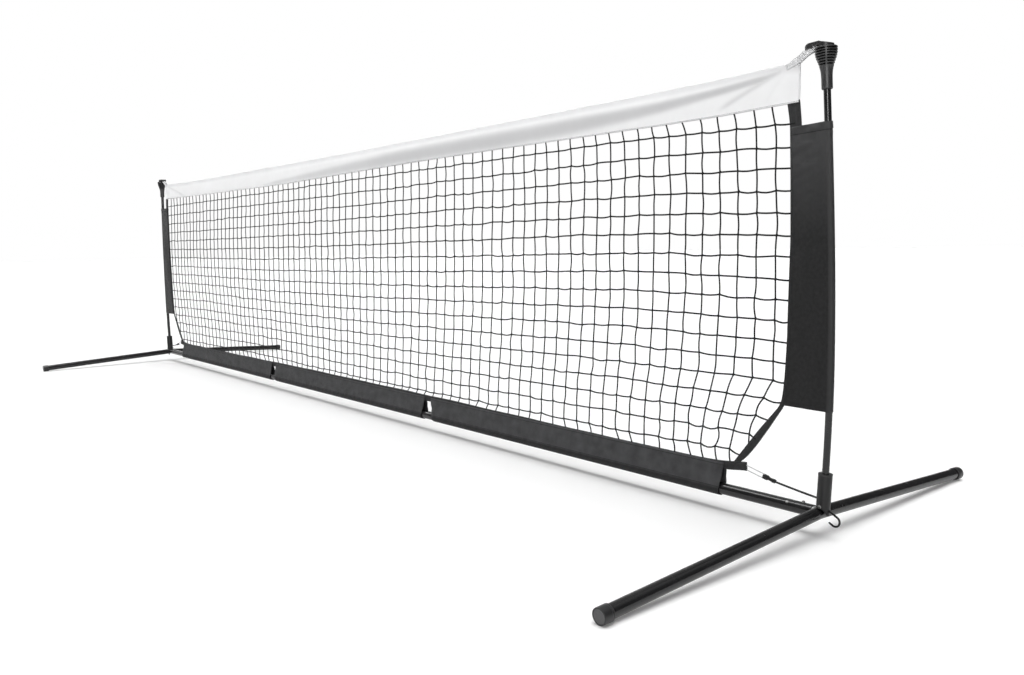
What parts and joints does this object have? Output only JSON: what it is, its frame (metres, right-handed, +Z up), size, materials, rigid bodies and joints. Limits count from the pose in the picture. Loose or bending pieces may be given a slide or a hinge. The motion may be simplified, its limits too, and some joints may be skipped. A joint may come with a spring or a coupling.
{
  "type": "pickleball portable net",
  "caption": "Free-standing portable net: bent foot tubes, a sectional bar in cloth skirts and bowed side poles that hold a white-taped mesh by loops and elastic ties.",
  "frame": {"origin": "on the floor under the middle of the net", "axes": "+X along the net towards the near end in the picture, -Y towards the front, +Z up"},
  "size_m": [3.7442, 1.1836, 0.914],
  "materials": {
    "black_tube": "satin black powder coat",
    "stub_steel": "plain drawn steel tube",
    "grey_cap": "moulded dark grey plastic",
    "socket_paint": "satin black powder coat",
    "bush_plastic": "moulded black plastic",
    "bright_steel": "plated steel",
    "spring_steel": "tempered strip",
    "pole_rod": "black glass-fibre rod",
    "head_plastic": "moulded charcoal plastic",
    "clip_plastic": "moulded black plastic",
    "hook_wire": "black coated wire",
    "white_tape": "woven white cloth",
    "binding_webbing": "woven black webbing",
    "net_cord": "knotted black twine",
    "sleeve_cloth": "black woven cloth",
    "skirt_cloth": "dark grey woven cloth",
    "elastic": "black covered elastic"
  },
  "bodies": {
    "net_frame": {"anchor_hook_left": "hook_wire", "anchor_hook_right": "hook_wire", "bar_centre": "black_tube", "bar_left": "black_tube", "bar_right": "black_tube", "bar_skirt_centre": "skirt_cloth", "bar_skirt_left": "skirt_cloth", "bar_skirt_right": "skirt_cloth", "bar_spring_left": "spring_steel", "bar_spring_right": "spring_steel", "bottom_webbing": "binding_webbing", "cord_knot_left": "elastic", "cord_knot_right": "elastic", "edge_binding_left": "binding_webbing", "edge_binding_right": "binding_webbing", "elastic_cord_left": "elastic", "elastic_cord_right": "elastic", "foot_cap_left_back": "grey_cap", "foot_cap_left_front": "grey_cap", "foot_cap_right_back": "grey_cap", "foot_cap_right_front": "grey_cap", "foot_spring_left": "spring_steel", "foot_spring_right": "spring_steel", "foot_stub_left": "stub_steel", "foot_stub_right": "stub_steel", "foot_tube_left": "black_tube", "foot_tube_right": "black_tube", "headband_tape": "white_tape", "headline_strap": "white_tape", "hook_loop_left": "white_tape", "hook_loop_right": "white_tape", "key_rivets": "bright_steel", "loop_hook_left": "head_plastic", "loop_hook_right": "head_plastic", "net_mesh": "net_cord", "pole_cup_left": "head_plastic", "pole_cup_right": "head_plastic", "pole_left": "pole_rod", "pole_right": "pole_rod", "pole_socket_left": "socket_paint", "pole_socket_right": "socket_paint", "side_sleeve_left": "sleeve_cloth", "side_sleeve_right": "sleeve_cloth", "socket_liner_left": "bush_plastic", "socket_liner_right": "bush_plastic", "socket_rivet_left": "bright_steel", "socket_rivet_right": "bright_steel", "tension_clip_left": "clip_plastic", "tension_clip_right": "clip_plastic", "tension_ring_left": "bright_steel", "tension_ring_right": "bright_steel"},
    "foot_button_left": {"foot_button_left": "bright_steel"},
    "foot_button_right": {"foot_button_right": "bright_steel"},
    "bar_button_left": {"bar_button_left": "bright_steel"},
    "bar_button_right": {"bar_button_right": "bright_steel"}
  },
  "joints": [
    {"name": "foot_button_left_press", "type": "slide", "parent": "net_frame", "child": "foot_button_left", "axis": [0, 0, -1], "range_m": [0, 0.005], "stiffness_N_per_m": 4000, "springref_m": -0.002, "deforming": ["foot_spring_left"]},
    {"name": "foot_button_right_press", "type": "slide", "parent": "net_frame", "child": "foot_button_right", "axis": [0, 0, -1], "range_m": [0, 0.005], "stiffness_N_per_m": 4000, "springref_m": -0.002, "deforming": ["foot_spring_right"]},
    {"name": "bar_button_left_press", "type": "slide", "parent": "net_frame", "child": "bar_button_left", "axis": [0, 0, -1], "range_m": [0, 0.005], "stiffness_N_per_m": 4000, "springref_m": -0.002, "deforming": ["bar_spring_left"]},
    {"name": "bar_button_right_press", "type": "slide", "parent": "net_frame", "child": "bar_button_right", "axis": [0, 0, -1], "range_m": [0, 0.005], "stiffness_N_per_m": 4000, "springref_m": -0.002, "deforming": ["bar_spring_right"]}
  ]
}
